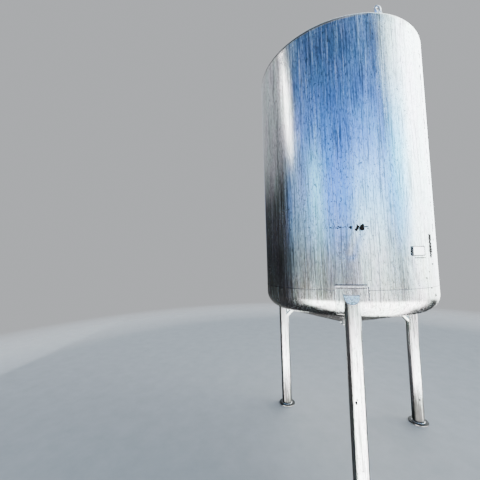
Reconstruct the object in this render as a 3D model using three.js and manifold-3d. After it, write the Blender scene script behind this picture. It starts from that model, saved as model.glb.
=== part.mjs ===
// A vertical stainless storage tank on three tubular legs.
// Millimetres, +Z up, ground at z = 0. The front leg stands towards -Y.
import * as THREE from 'three';
import { mergeVertices } from 'three/addons/utils/BufferGeometryUtils.js';
import Module from 'manifold-3d';

const wasm = await Module();
wasm.setup();

const DEG = Math.PI / 180;

// Shell: four sheets, each a quarter of the way round
const SHEET_COUNT = 4;
const SHEET_WIDTH = 1250;
const PLATE = 3;
const SHELL_RADIUS = (SHEET_COUNT * SHEET_WIDTH) / (2 * Math.PI) + PLATE / 2;
const FIRST_SEAM_AZIMUTH = -65.5;
const SHEET_STEPS = 18;
const RING_STEPS = 72;

// Heights of the two circular welds and of the rim above the upper one
const LOWER_WELD_Z = 1517;
const UPPER_WELD_Z = 3666;
const RIM_Z = 3738;

// Bottom head: a flange, a wide knuckle and a shallow cone down to the outlet
const BOTTOM_KNUCKLE = 150;
const BOTTOM_TANGENT_Z = 1441;
const BOTTOM_SLOPE = 16;
const KNUCKLE_STEPS = 6;

// Top head: a flange, a tight knuckle and a dished crown up to the manway
const TOP_KNUCKLE = 20;
const CROWN_RADIUS = 2000;
const CROWN_STEPS = 4;

// Legs: a tube up the outside of the shell, mitred and closed at its top
const LEG_CIRCLE = 809;
const LEG_AZIMUTHS = { front: -90, right: 30, left: 150 };
const TUBE_RADIUS = 57.15;
const TUBE_WALL = 3;
const TUBE_STEPS = 32;
const MITRE_TOP_Z = 1487;
const MITRE_ANGLE = 45;
const CAP_PLATE = 3;

const FOOT_RADIUS = 95;
const FOOT_PLATE = 10;

// Doubler pads between the head and what the legs push on
const PAD_STEP = 1.36;
const LEG_PAD_STEPS = 6;
const LEG_PAD_TOP_Z = 1545;
const LEG_PAD_KNUCKLE_STEPS = 4;
const BRACE_PAD_STEPS = 5;
const BRACE_PAD_INNER_R = 505;
const BRACE_PAD_OUTER_R = 640;

// Knee brace from each leg to the cone
const BRACE_RADIUS = 24;
const BRACE_WALL = 3;
const BRACE_STEPS = 24;
const BRACE_ANGLE = 42;
const BRACE_LEG_Z = 1090;
const BRACE_LENGTH = 420;

// Outlet in the middle of the bottom
const OUTLET_RADIUS = 38;
const OUTLET_WALL = 3;
const FERRULE_RADIUS = 60;
const FERRULE_PLATE = 12;
const FERRULE_DROP = 8;

// Manway and vent on the top
const MANWAY_RADIUS = 203;
const MANWAY_HEIGHT = 110;
const MANWAY_RING_STEPS = 36;
const RIM_RING_WIDTH = 22;
const RIM_RING_PLATE = 8;
const LID_OVERHANG = 14;
const LID_DOME = 38;
const VENT_DISTANCE = 430;
const VENT_AZIMUTH = 115;
const VENT_RADIUS = 30;
const VENT_HEIGHT = 130;
const VENT_CAP_RADIUS = 52;
const VENT_CAP_HEIGHT = 34;

// Lifting lugs on the rim
const LUG_AZIMUTHS = [-65, 115];
const LUG_RADIUS = 772;
const LUG_WIDTH = 60;
const LUG_HEIGHT = 84;
const LUG_PLATE = 10;
const LUG_HOLE_RADIUS = 15;

// Blank name plate on its bracket
const PLATE_AZIMUTH = -50.2;
const NAME_PLATE_Z = 1805;
const NAME_PLATE_WIDTH = 134;
const NAME_PLATE_HEIGHT = 72;
const NAME_PLATE_THICK = 2;
const BRACKET_WIDTH = 122;
const BRACKET_HEIGHT = 60;
const BRACKET_DEPTH = 5;
const BRACKET_PLATE = 2;

// Clearance that stands for a welded or resting contact
const FIT = 0.3;

// The front foot reaches further out than the shell does behind, so the tank's
// axis stands behind the middle of the ground plan by half of the difference
const AXIS_Y = (LEG_CIRCLE + FOOT_RADIUS - SHELL_RADIUS) / 2;

const KNUCKLE_CENTRE_R = SHELL_RADIUS - BOTTOM_KNUCKLE;
const CONE_TAN = Math.tan(BOTTOM_SLOPE * DEG);

const FINISHES = {
  sheet: { color: 0xb9bec2, roughness: 0.38, metalness: 1 },
  head: { color: 0xb4b6b4, roughness: 0.45, metalness: 1 },
  tube: { color: 0xc6c7c4, roughness: 0.34, metalness: 1 },
  foot: { color: 0x4d4f50, roughness: 0.7, metalness: 1 },
  pad: { color: 0xafb1b0, roughness: 0.48, metalness: 1 },
  fitting: { color: 0xc4c6c6, roughness: 0.3, metalness: 1 },
  plate: { color: 0xd7d8d6, roughness: 0.35, metalness: 1 },
};

const tank = new THREE.Group();
tank.position.y = AXIS_Y;

function addPiece(name, geometry, finish, parent = tank) {
  const mesh = new THREE.Mesh(geometry, new THREE.MeshStandardMaterial(FINISHES[finish]));
  mesh.name = name;
  parent.add(mesh);
  return mesh;
}

function groupAt(azimuth) {
  const group = new THREE.Group();
  group.rotation.z = azimuth * DEG;
  tank.add(group);
  return group;
}

function counterClockwise(section) {
  const points = section.map(([r, z]) => new THREE.Vector2(r, z));
  return THREE.ShapeUtils.isClockWise(points) ? points.reverse() : points;
}

// A closed section turned all the way round the Z axis
function fullTurn(section, steps) {
  const points = counterClockwise(section);
  points.push(points[0].clone());
  return new THREE.LatheGeometry(points, steps).rotateX(Math.PI / 2);
}

// A section that starts and ends on the axis, listed from the bottom up
function turnedSolid(section, steps) {
  const points = section.map(([r, z]) => new THREE.Vector2(r, z));
  return new THREE.LatheGeometry(points, steps).rotateX(Math.PI / 2);
}

// A closed section turned part of the way round, with flat ends
function partTurn(section, fromAzimuth, toAzimuth, steps) {
  const points = counterClockwise(section);
  const count = points.length;
  const positions = [];
  for (let i = 0; i <= steps; i += 1) {
    const azimuth = (fromAzimuth + ((toAzimuth - fromAzimuth) * i) / steps) * DEG;
    for (const point of points) {
      positions.push(point.x * Math.cos(azimuth), point.x * Math.sin(azimuth), point.y);
    }
  }
  const index = [];
  for (let i = 0; i < steps; i += 1) {
    for (let j = 0; j < count; j += 1) {
      const near = i * count + j;
      const nearNext = i * count + ((j + 1) % count);
      const far = near + count;
      const farNext = nearNext + count;
      index.push(near, farNext, nearNext, near, far, farNext);
    }
  }
  const last = steps * count;
  for (const [a, b, c] of THREE.ShapeUtils.triangulateShape(points, [])) {
    index.push(a, b, c, last + a, last + c, last + b);
  }
  const geometry = new THREE.BufferGeometry();
  geometry.setAttribute('position', new THREE.Float32BufferAttribute(positions, 3));
  geometry.setIndex(index);
  return geometry;
}

function toSolid(geometry) {
  const bare = geometry.clone();
  bare.deleteAttribute('normal');
  bare.deleteAttribute('uv');
  const merged = mergeVertices(bare, 1e-4);
  return new wasm.Manifold(new wasm.Mesh({
    numProp: 3,
    vertProperties: new Float32Array(merged.attributes.position.array),
    triVerts: new Uint32Array(merged.index.array),
  }));
}

function toGeometry(solid) {
  const mesh = solid.getMesh();
  const geometry = new THREE.BufferGeometry();
  geometry.setAttribute('position', new THREE.BufferAttribute(mesh.vertProperties, 3));
  geometry.setIndex(new THREE.BufferAttribute(mesh.triVerts, 1));
  return geometry;
}

function roundBar(radius, length, steps) {
  return new THREE.CylinderGeometry(radius, radius, length, steps).rotateX(Math.PI / 2);
}

// Points of the bottom head's outer face moved outwards by offset, from the lower weld to the cone's start
function flangeAndKnuckle(offset, topZ, knuckleSteps) {
  const points = [[SHELL_RADIUS + offset, topZ]];
  const reach = BOTTOM_KNUCKLE + offset;
  for (let i = 0; i <= knuckleSteps; i += 1) {
    const turn = (i / KNUCKLE_STEPS) * (90 - BOTTOM_SLOPE) * DEG;
    points.push([KNUCKLE_CENTRE_R + reach * Math.cos(turn), BOTTOM_TANGENT_Z - reach * Math.sin(turn)]);
  }
  return points;
}

// Height of the cone's face, moved outwards by offset, at a distance from the axis
function coneZ(radius, offset) {
  const [startR, startZ] = flangeAndKnuckle(offset, LOWER_WELD_Z, KNUCKLE_STEPS).at(-1);
  return startZ - (startR - radius) * CONE_TAN;
}

function bottomSection(offset, topZ, innerRadius) {
  return [...flangeAndKnuckle(offset, topZ, KNUCKLE_STEPS), [innerRadius, coneZ(innerRadius, offset)]];
}

// Points of the top head's outer face moved outwards by offset, from the upper weld to the manway
function topSection(offset, innerRadius) {
  const centreR = SHELL_RADIUS - TOP_KNUCKLE;
  const centreZ = RIM_Z - TOP_KNUCKLE;
  const crownTurn = Math.asin(centreR / (CROWN_RADIUS - TOP_KNUCKLE));
  const crownCentreZ = centreZ - (CROWN_RADIUS - TOP_KNUCKLE) * Math.cos(crownTurn);
  const crown = CROWN_RADIUS + offset;
  const points = [[SHELL_RADIUS + offset, UPPER_WELD_Z + FIT]];
  const knuckleSteps = 3;
  for (let i = 0; i <= knuckleSteps; i += 1) {
    const turn = (i / knuckleSteps) * (Math.PI / 2 - crownTurn);
    const reach = TOP_KNUCKLE + offset;
    points.push([centreR + reach * Math.cos(turn), centreZ + reach * Math.sin(turn)]);
  }
  const endTurn = Math.asin(innerRadius / crown);
  for (let i = 1; i <= CROWN_STEPS; i += 1) {
    const turn = crownTurn + ((endTurn - crownTurn) * i) / CROWN_STEPS;
    points.push([crown * Math.sin(turn), crownCentreZ + crown * Math.cos(turn)]);
  }
  return points;
}

function crownZ(radius) {
  const points = topSection(0, radius);
  return points.at(-1)[1];
}

function makeShell() {
  const weldGap = (FIT / 2 / SHELL_RADIUS) / DEG;
  const inner = SHELL_RADIUS - PLATE;
  const section = [
    [inner, LOWER_WELD_Z],
    [SHELL_RADIUS, LOWER_WELD_Z],
    [SHELL_RADIUS, UPPER_WELD_Z],
    [inner, UPPER_WELD_Z],
  ];
  const quarter = 360 / SHEET_COUNT;
  for (let i = 0; i < SHEET_COUNT; i += 1) {
    const start = FIRST_SEAM_AZIMUTH + i * quarter;
    const sheet = partTurn(section, start + weldGap, start + quarter - weldGap, SHEET_STEPS);
    addPiece(`shell_sheet_${i + 1}`, sheet, 'sheet');
  }
}

function makeBottomHead() {
  const hole = OUTLET_RADIUS + FIT;
  const top = LOWER_WELD_Z - FIT;
  const section = [...bottomSection(0, top, hole), ...bottomSection(-PLATE, top, hole).reverse()];
  addPiece('bottom_head', fullTurn(section, RING_STEPS), 'head');
}

function makeTopHead() {
  const hole = MANWAY_RADIUS + FIT;
  const section = [...topSection(0, hole), ...topSection(-PLATE, hole).reverse()];
  let head = toSolid(fullTurn(section, RING_STEPS));
  const ventHole = roundBar(VENT_RADIUS + FIT, 2 * VENT_HEIGHT, BRACE_STEPS);
  ventHole.translate(VENT_DISTANCE, 0, crownZ(VENT_DISTANCE)).rotateZ(VENT_AZIMUTH * DEG);
  head = head.subtract(toSolid(ventHole));
  addPiece('top_head', toGeometry(head), 'head');
}

// What a leg or brace is cut back by: the bottom head with its pads on it
function paddedBottom() {
  const offset = PLATE + 2 * FIT;
  const steps = LEG_PAD_STEPS + 3;
  const core = 200;
  const topZ = LEG_PAD_TOP_Z + 100;
  const section = [...bottomSection(offset, topZ, core), [core, topZ]];
  return toSolid(partTurn(section, -steps * PAD_STEP, steps * PAD_STEP, 2 * steps));
}

// Everything above the leg's mitre, or above a plane that lies lower by drop
function aboveMitre(drop) {
  const size = 600;
  const block = new THREE.BoxGeometry(size, size, size).translate(0, 0, size / 2 - drop);
  block.rotateY(MITRE_ANGLE * DEG).translate(SHELL_RADIUS, 0, MITRE_TOP_Z);
  return toSolid(block);
}

function legBar(radius, steps, bottomZ) {
  const topZ = MITRE_TOP_Z + 100;
  return toSolid(roundBar(radius, topZ - bottomZ, steps).translate(LEG_CIRCLE, 0, (topZ + bottomZ) / 2));
}

function makeLegTube(padded) {
  const bottomZ = FOOT_PLATE + FIT;
  const bore = legBar(TUBE_RADIUS - TUBE_WALL, TUBE_STEPS, bottomZ - 10);
  const tube = legBar(TUBE_RADIUS, TUBE_STEPS, bottomZ).subtract(bore);
  return toGeometry(tube.subtract(aboveMitre(CAP_PLATE + FIT)).subtract(padded));
}

function makeLegCap(padded) {
  const bar = legBar(TUBE_RADIUS, TUBE_STEPS, MITRE_TOP_Z - 200);
  const slab = bar.subtract(aboveMitre(0)).intersect(aboveMitre(CAP_PLATE));
  return toGeometry(slab.subtract(padded));
}

function makeLegPad() {
  const outer = flangeAndKnuckle(PLATE + FIT, LEG_PAD_TOP_Z, LEG_PAD_KNUCKLE_STEPS);
  const inner = flangeAndKnuckle(FIT, LEG_PAD_TOP_Z, LEG_PAD_KNUCKLE_STEPS);
  const reach = LEG_PAD_STEPS * PAD_STEP;
  return partTurn([...outer, ...inner.reverse()], -reach, reach, 2 * LEG_PAD_STEPS);
}

function makeBracePad() {
  const outer = PLATE + FIT;
  const section = [
    [BRACE_PAD_INNER_R, coneZ(BRACE_PAD_INNER_R, FIT)],
    [BRACE_PAD_INNER_R, coneZ(BRACE_PAD_INNER_R, outer)],
    [BRACE_PAD_OUTER_R, coneZ(BRACE_PAD_OUTER_R, outer)],
    [BRACE_PAD_OUTER_R, coneZ(BRACE_PAD_OUTER_R, FIT)],
  ];
  const reach = BRACE_PAD_STEPS * PAD_STEP;
  return partTurn(section, -reach, reach, 2 * BRACE_PAD_STEPS);
}

function makeLegBrace(padded) {
  const legFace = LEG_CIRCLE - TUBE_RADIUS;
  const place = (geometry) => {
    geometry.rotateY((BRACE_ANGLE - 90) * DEG);
    return toSolid(geometry.translate(legFace, 0, BRACE_LEG_Z));
  };
  const outer = place(roundBar(BRACE_RADIUS, BRACE_LENGTH, BRACE_STEPS).translate(0, 0, BRACE_LENGTH / 4));
  const bore = place(roundBar(BRACE_RADIUS - BRACE_WALL, 2 * BRACE_LENGTH, BRACE_STEPS));
  const leg = legBar(TUBE_RADIUS + FIT, TUBE_STEPS, FOOT_PLATE);
  const outsideLeg = toSolid(new THREE.BoxGeometry(600, 600, 3000).translate(LEG_CIRCLE + 300, 0, 1500));
  return toGeometry(outer.subtract(bore).subtract(outsideLeg).subtract(leg).subtract(padded));
}

function makeLegs() {
  const padded = paddedBottom();
  for (const [side, azimuth] of Object.entries(LEG_AZIMUTHS)) {
    const leg = groupAt(azimuth);
    addPiece(`leg_tube_${side}`, makeLegTube(padded), 'tube', leg);
    addPiece(`leg_cap_${side}`, makeLegCap(padded), 'tube', leg);
    addPiece(`leg_pad_${side}`, makeLegPad(), 'pad', leg);
    addPiece(`leg_brace_${side}`, makeLegBrace(padded), 'tube', leg);
    addPiece(`brace_pad_${side}`, makeBracePad(), 'pad', leg);
    const foot = roundBar(FOOT_RADIUS, FOOT_PLATE, 48).translate(LEG_CIRCLE, 0, FOOT_PLATE / 2);
    addPiece(`foot_plate_${side}`, foot, 'foot', leg);
  }
}

function tubeSection(outerRadius, wall, bottomZ, topZ) {
  return [
    [outerRadius - wall, bottomZ],
    [outerRadius, bottomZ],
    [outerRadius, topZ],
    [outerRadius - wall, topZ],
  ];
}

function makeOutlet() {
  const mouthZ = coneZ(OUTLET_RADIUS, 0);
  const ferruleTop = mouthZ - FERRULE_DROP;
  const neck = tubeSection(OUTLET_RADIUS, OUTLET_WALL, ferruleTop + FIT, mouthZ + PLATE);
  addPiece('outlet_neck', fullTurn(neck, MANWAY_RING_STEPS), 'fitting');
  const width = FERRULE_RADIUS - OUTLET_RADIUS + OUTLET_WALL;
  const ferrule = tubeSection(FERRULE_RADIUS, width, ferruleTop - FERRULE_PLATE, ferruleTop);
  addPiece('outlet_ferrule', fullTurn(ferrule, MANWAY_RING_STEPS), 'fitting');
}

function makeManway() {
  const bottomZ = crownZ(MANWAY_RADIUS) - PLATE;
  const topZ = bottomZ + MANWAY_HEIGHT;
  const neck = tubeSection(MANWAY_RADIUS, PLATE, bottomZ, topZ);
  addPiece('manway_neck', fullTurn(neck, MANWAY_RING_STEPS), 'fitting');

  const ring = tubeSection(
    MANWAY_RADIUS + FIT + RIM_RING_WIDTH,
    RIM_RING_WIDTH,
    topZ - RIM_RING_PLATE,
    topZ,
  );
  addPiece('manway_rim_ring', fullTurn(ring, MANWAY_RING_STEPS), 'fitting');

  const lidZ = topZ + FIT;
  const lidRadius = MANWAY_RADIUS + RIM_RING_WIDTH + LID_OVERHANG;
  const lid = [
    [0, lidZ],
    [lidRadius, lidZ],
    [lidRadius, lidZ + RIM_RING_PLATE],
    [MANWAY_RADIUS, lidZ + RIM_RING_PLATE],
    [0.75 * MANWAY_RADIUS, lidZ + 0.6 * LID_DOME],
    [0.4 * MANWAY_RADIUS, lidZ + 0.9 * LID_DOME],
    [0, lidZ + LID_DOME],
  ];
  addPiece('manway_lid', turnedSolid(lid, MANWAY_RING_STEPS), 'fitting');

  // Hinge knuckles at the back of the lid, carried by the neck
  const hingeX = lidRadius + FIT;
  const hingeShape = new THREE.Shape();
  hingeShape.moveTo(MANWAY_RADIUS + FIT, topZ - 70);
  hingeShape.lineTo(hingeX + 30, topZ - 10);
  hingeShape.lineTo(hingeX + 30, lidZ + RIM_RING_PLATE + 12);
  hingeShape.lineTo(hingeX, lidZ + RIM_RING_PLATE + 12);
  hingeShape.lineTo(hingeX, topZ - RIM_RING_PLATE - FIT);
  hingeShape.lineTo(MANWAY_RADIUS + FIT, topZ - RIM_RING_PLATE - FIT);
  const hingeWidth = 40;
  const hinge = new THREE.ExtrudeGeometry(hingeShape, { depth: hingeWidth, bevelEnabled: false });
  hinge.rotateX(Math.PI / 2).translate(0, hingeWidth / 2, 0);
  addPiece('manway_hinge', hinge, 'fitting', groupAt(90));

  // Swing bolt bracket and hand knob opposite the hinge
  const bracketShape = new THREE.Shape();
  bracketShape.moveTo(MANWAY_RADIUS + FIT, topZ - 60);
  bracketShape.lineTo(hingeX + 26, topZ - 34);
  bracketShape.lineTo(hingeX + 26, topZ - RIM_RING_PLATE - FIT);
  bracketShape.lineTo(MANWAY_RADIUS + FIT, topZ - RIM_RING_PLATE - FIT);
  const latch = new THREE.ExtrudeGeometry(bracketShape, { depth: hingeWidth, bevelEnabled: false });
  latch.rotateX(Math.PI / 2).translate(0, hingeWidth / 2, 0);
  const front = groupAt(-90);
  addPiece('manway_latch', latch, 'fitting', front);

  const knobZ = topZ - RIM_RING_PLATE;
  const knob = [
    [0, 0],
    [7, 0],
    [7, 30],
    [26, 32],
    [26, 50],
    [0, 56],
  ];
  const knobX = hingeX + 13;
  addPiece('manway_knob', turnedSolid(knob, 20).translate(knobX, 0, knobZ), 'fitting', front);
}

function makeVent() {
  const top = crownZ(VENT_DISTANCE);
  const pipeTop = top + VENT_HEIGHT;
  const side = groupAt(VENT_AZIMUTH);
  const bottom = crownZ(VENT_DISTANCE + VENT_RADIUS) - 2 * PLATE;
  const pipe = fullTurn(tubeSection(VENT_RADIUS, PLATE, bottom, pipeTop), BRACE_STEPS);
  addPiece('vent_pipe', pipe.translate(VENT_DISTANCE, 0, 0), 'fitting', side);
  const seat = pipeTop + FIT;
  const cap = [
    [0, seat],
    [VENT_CAP_RADIUS, seat],
    [VENT_CAP_RADIUS, seat + 0.4 * VENT_CAP_HEIGHT],
    [0.6 * VENT_CAP_RADIUS, seat + 0.85 * VENT_CAP_HEIGHT],
    [0, seat + VENT_CAP_HEIGHT],
  ];
  addPiece('vent_cap', turnedSolid(cap, BRACE_STEPS).translate(VENT_DISTANCE, 0, 0), 'fitting', side);
}

// A plate with an eye, standing on the rim's shoulder and cut to its slope
function makeLug() {
  const half = LUG_WIDTH / 2;
  const eyeZ = RIM_Z + LUG_HEIGHT - half;
  const shape = new THREE.Shape();
  shape.moveTo(-half, RIM_Z - 10);
  shape.lineTo(half, RIM_Z - 10);
  shape.lineTo(half, eyeZ);
  shape.absarc(0, eyeZ, half, 0, Math.PI, false);
  shape.lineTo(-half, RIM_Z - 10);
  const eye = new THREE.Path();
  eye.absarc(0, eyeZ, LUG_HOLE_RADIUS, 0, 2 * Math.PI, true);
  shape.holes.push(eye);
  const plate = new THREE.ExtrudeGeometry(shape, { depth: LUG_PLATE, bevelEnabled: false, curveSegments: 12 });
  plate.rotateX(Math.PI / 2).rotateZ(-Math.PI / 2).translate(LUG_RADIUS, 0, 0);
  const head = [...topSection(FIT, MANWAY_RADIUS), [MANWAY_RADIUS, UPPER_WELD_Z]];
  const wedge = toSolid(partTurn(head, -5, 5, 4));
  return toGeometry(toSolid(plate).subtract(wedge));
}

function makeLugs() {
  LUG_AZIMUTHS.forEach((azimuth, i) => {
    addPiece(`lifting_lug_${i + 1}`, makeLug(), 'fitting', groupAt(azimuth));
  });
}

function makeNamePlate() {
  const place = groupAt(PLATE_AZIMUTH);
  const half = BRACKET_WIDTH / 2;
  const face = SHELL_RADIUS + BRACKET_DEPTH;
  const seat = Math.sqrt(SHELL_RADIUS ** 2 - (half - BRACKET_PLATE) ** 2) + FIT;
  const shape = new THREE.Shape();
  shape.moveTo(seat, -half);
  shape.lineTo(face, -half);
  shape.lineTo(face, half);
  shape.lineTo(seat, half);
  shape.lineTo(seat, half - BRACKET_PLATE);
  shape.lineTo(face - BRACKET_PLATE, half - BRACKET_PLATE);
  shape.lineTo(face - BRACKET_PLATE, -half + BRACKET_PLATE);
  shape.lineTo(seat, -half + BRACKET_PLATE);
  const bracket = new THREE.ExtrudeGeometry(shape, { depth: BRACKET_HEIGHT, bevelEnabled: false });
  bracket.translate(0, 0, NAME_PLATE_Z - BRACKET_HEIGHT / 2);
  addPiece('name_plate_bracket', bracket, 'fitting', place);

  const plate = new THREE.BoxGeometry(NAME_PLATE_THICK, NAME_PLATE_WIDTH, NAME_PLATE_HEIGHT);
  plate.translate(face + FIT + NAME_PLATE_THICK / 2, 0, NAME_PLATE_Z);
  addPiece('name_plate', plate, 'plate', place);
}

makeShell();
makeBottomHead();
makeTopHead();
makeLegs();
makeOutlet();
makeManway();
makeVent();
makeLugs();
makeNamePlate();

export default tank;
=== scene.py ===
"""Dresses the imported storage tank: wavy stainless sheets, welds, pads, mitred legs and fittings."""

import math

import bmesh
import bpy
from mathutils import Matrix, Vector, noise


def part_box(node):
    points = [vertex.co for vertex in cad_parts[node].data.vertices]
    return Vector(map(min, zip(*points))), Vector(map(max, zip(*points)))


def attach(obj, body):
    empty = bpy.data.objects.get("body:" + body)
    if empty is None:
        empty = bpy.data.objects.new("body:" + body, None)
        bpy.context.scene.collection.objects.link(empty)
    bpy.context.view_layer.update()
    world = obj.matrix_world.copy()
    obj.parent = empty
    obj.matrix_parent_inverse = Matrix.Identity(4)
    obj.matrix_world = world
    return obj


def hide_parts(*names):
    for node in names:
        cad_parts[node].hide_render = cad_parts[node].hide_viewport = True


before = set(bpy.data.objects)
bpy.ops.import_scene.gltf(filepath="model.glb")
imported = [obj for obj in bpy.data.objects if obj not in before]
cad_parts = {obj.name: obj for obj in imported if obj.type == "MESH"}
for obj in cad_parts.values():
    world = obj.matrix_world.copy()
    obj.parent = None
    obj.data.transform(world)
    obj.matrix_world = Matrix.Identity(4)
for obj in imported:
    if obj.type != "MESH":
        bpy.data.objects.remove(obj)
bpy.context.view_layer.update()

# Sizes in metres and azimuths in degrees, in the part's frame
ferrule_low, ferrule_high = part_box("outlet_ferrule")
head_low, head_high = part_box("bottom_head")
AXIS_Y = (ferrule_low.y + ferrule_high.y) / 2
SHELL_RADIUS = (head_high.x - head_low.x) / 2
LOWER_WELD_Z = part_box("shell_sheet_1")[0].z
UPPER_WELD_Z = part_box("shell_sheet_1")[1].z
PLATE = 0.003
WALL = 0.003
FIT = 0.0003
SHEET_COUNT = 4
SHEET_TURN = 360 / SHEET_COUNT
FIRST_SEAM = -65.5
BOTTOM_KNUCKLE = 0.150
BOTTOM_TANGENT_Z = 1.441
BOTTOM_SLOPE = math.radians(16)
RIM_Z = 3.738
TOP_KNUCKLE = 0.020
CROWN_RADIUS = 2.0
MANWAY_RADIUS = 0.203
RIM_RING_WIDTH = 0.022
RIM_RING_PLATE = 0.008
LID_OVERHANG = 0.014
LID_DOME = 0.038
OUTLET_RADIUS = 0.038
FERRULE_RADIUS = 0.060
LEG_CIRCLE = 0.809
LEG_AZIMUTHS = {"front": -90, "right": 30, "left": 150}
TUBE_RADIUS = 0.05715
MITRE_TOP_Z = 1.487
MITRE_ANGLE = math.radians(45)
FOOT_PLATE = 0.010
FOOT_RADIUS = 0.095
LEG_PAD_REACH = 8.16
LEG_PAD_TOP_Z = 1.545
LEG_PAD_TURN = math.radians(74 * 4 / 6)
BRACE_PAD_REACH = 6.8
BRACE_PAD_RADII = (0.505, 0.640)
BRACE_RADIUS = 0.024
BRACE_ANGLE = math.radians(42)
BRACE_LEG_Z = 1.090
VENT_DISTANCE = 0.430
VENT_AZIMUTH = 115
VENT_RADIUS = 0.030
VENT_CAP_RADIUS = 0.052
LUG_AZIMUTHS = (-65, 115)
LUG_FACES = ((0.772, 1), (0.762, -1))
LUG_HALF_WIDTH = 0.029
NAME_PLATE_AZIMUTH = -50.2
NAME_PLATE_WIDTH = 0.134
NAME_PLATE_CORNER = 0.006
BRACKET_DEPTH = 0.005
FLOOR_RADIUS = 9.0

# Waves of the shell: scale round and up its noise, shift of the noise, and depth
MEAN_WAVE = 0.0009
WAVES = ((1.9, 1.1, 0, 0.0008), (6.5, 0.9, 5, 0.0004), (17, 0.7, 9, 0.0002))
# How far the welds draw the shell in, and how far to each side
SEAM_PINCH = 0.0004
SEAM_REACH = 0.018
ROUND_PINCHES = ((LOWER_WELD_Z, 0.0003), (UPPER_WELD_Z, 0.00015))
ROUND_REACH = 0.016
# Creases and dents in the shell: azimuth and height of both ends, half width and depth
DENTS = (
    ((-83.8, 1.973), (-88.5, 1.785), 0.030, 0.0016),
    ((-58.0, 1.737), (-52.0, 1.546), 0.016, 0.0012),
    ((-37.0, 1.914), (-37.0, 1.764), 0.016, 0.0012),
    ((24.0, 2.55), (27.0, 2.20), 0.060, 0.0028),
    ((118.0, 1.95), (126.0, 1.90), 0.045, 0.0025),
)


def smooth_step(value):
    value = min(1.0, max(0.0, value))
    return value * value * (3 - 2 * value)


def spaced(low, high, count):
    """Values from low to high, both among them, in count equal steps"""
    return [low + (high - low) * i / count for i in range(count + 1)]


def all_round(steps):
    """Azimuths in equal steps all the way round"""
    return spaced(0, 360, steps)[:-1]


def outward(azimuth):
    turn = math.radians(azimuth)
    return Vector((math.cos(turn), math.sin(turn), 0))


def around(azimuth):
    """From a leg's or fitting's own frame, with +X pointing away from the tank's axis, to the part's"""
    return Matrix.Translation((0, AXIS_Y, 0)) @ Matrix.Rotation(math.radians(azimuth), 4, "Z")


def away_from_line(place, start, end):
    """Distance along the shell's face between a place and a line, all given as azimuth and height"""
    scale = math.radians(SHELL_RADIUS)
    place, start, end = (Vector((azimuth * scale, z)) for azimuth, z in (place, start, end))
    line = end - start
    along = min(1.0, max(0.0, (place - start).dot(line) / line.length_squared))
    return (place - start - line * along).length


def inward(azimuth, z):
    """How far the shell's face lies inside its true cylinder: waves, dents and the pinch at its welds"""
    azimuth = (azimuth + 180) % 360 - 180
    away = outward(azimuth)
    fade = smooth_step((z - LOWER_WELD_Z + 0.02) / 0.22) * smooth_step((RIM_Z - TOP_KNUCKLE - z) / 0.08)
    wave = MEAN_WAVE
    for round_scale, up_scale, shift, height in WAVES:
        wave += height * noise.noise((round_scale * away.x, round_scale * away.y, up_scale * z + shift))
    seam = (azimuth - FIRST_SEAM + SHEET_TURN / 2) % SHEET_TURN - SHEET_TURN / 2
    seam_distance = math.radians(seam) * SHELL_RADIUS / SEAM_REACH
    depth = fade * (wave + SEAM_PINCH * math.exp(-seam_distance ** 2))
    for weld_z, pinch in ROUND_PINCHES:
        depth += pinch * math.exp(-((z - weld_z) / ROUND_REACH) ** 2)
    for start, end, half_width, height in DENTS:
        distance = away_from_line((azimuth, z), start, end) / half_width
        if distance < 3:
            depth += height * math.exp(-distance ** 2)
    return depth


def shell_point(azimuth, z, lift=0.0):
    """A point on the shell's outer face, moved outwards by lift"""
    return outward(azimuth) * (SHELL_RADIUS - inward(azimuth, z) + lift) + Vector((0, AXIS_Y, z))


def knuckle_and_flange(offset, top_z, turn_end, steps):
    """Outer face of the bottom head moved outwards by offset, from top_z down round the knuckle"""
    reach = BOTTOM_KNUCKLE + offset
    centre = SHELL_RADIUS - BOTTOM_KNUCKLE
    points = []
    z = top_z
    while z > BOTTOM_TANGENT_Z + 0.006:
        points.append((SHELL_RADIUS + offset, z))
        z -= 0.012
    for turn in spaced(0, turn_end, steps):
        points.append((centre + reach * math.cos(turn), BOTTOM_TANGENT_Z - reach * math.sin(turn)))
    return points


def cone_z(radius, offset):
    turn = math.pi / 2 - BOTTOM_SLOPE
    start_r, start_z = knuckle_and_flange(offset, LOWER_WELD_Z, turn, 1)[-1]
    return start_z - (start_r - radius) * math.tan(BOTTOM_SLOPE)


def bottom_face(offset, top_z, inner_radius, steps):
    points = knuckle_and_flange(offset, top_z, math.pi / 2 - BOTTOM_SLOPE, steps)
    radii = spaced(points[-1][0], inner_radius, steps)[1:]
    return points + [(radius, cone_z(radius, offset)) for radius in radii]


def crown_centre():
    """Where the crown starts, as a turn from the axis, and its centre's height"""
    reach = CROWN_RADIUS - TOP_KNUCKLE
    turn = math.asin((SHELL_RADIUS - TOP_KNUCKLE) / reach)
    return turn, RIM_Z - TOP_KNUCKLE - reach * math.cos(turn)


def crown_z(radius):
    return crown_centre()[1] + math.sqrt(CROWN_RADIUS ** 2 - radius ** 2)


def top_face(offset, inner_radius, knuckle_steps, crown_steps):
    turn, centre_z = crown_centre()
    points = [(SHELL_RADIUS + offset, UPPER_WELD_Z + FIT + z) for z in (0, 0.006, 0.014, 0.026, 0.040)]
    reach = TOP_KNUCKLE + offset
    for round_turn in spaced(0, math.pi / 2 - turn, knuckle_steps):
        radius = SHELL_RADIUS - TOP_KNUCKLE + reach * math.cos(round_turn)
        points.append((radius, RIM_Z - TOP_KNUCKLE + reach * math.sin(round_turn)))
    reach = CROWN_RADIUS + offset
    for crown_turn in spaced(turn, math.asin(inner_radius / reach), crown_steps)[1:]:
        points.append((reach * math.sin(crown_turn), centre_z + reach * math.cos(crown_turn)))
    return points


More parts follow.
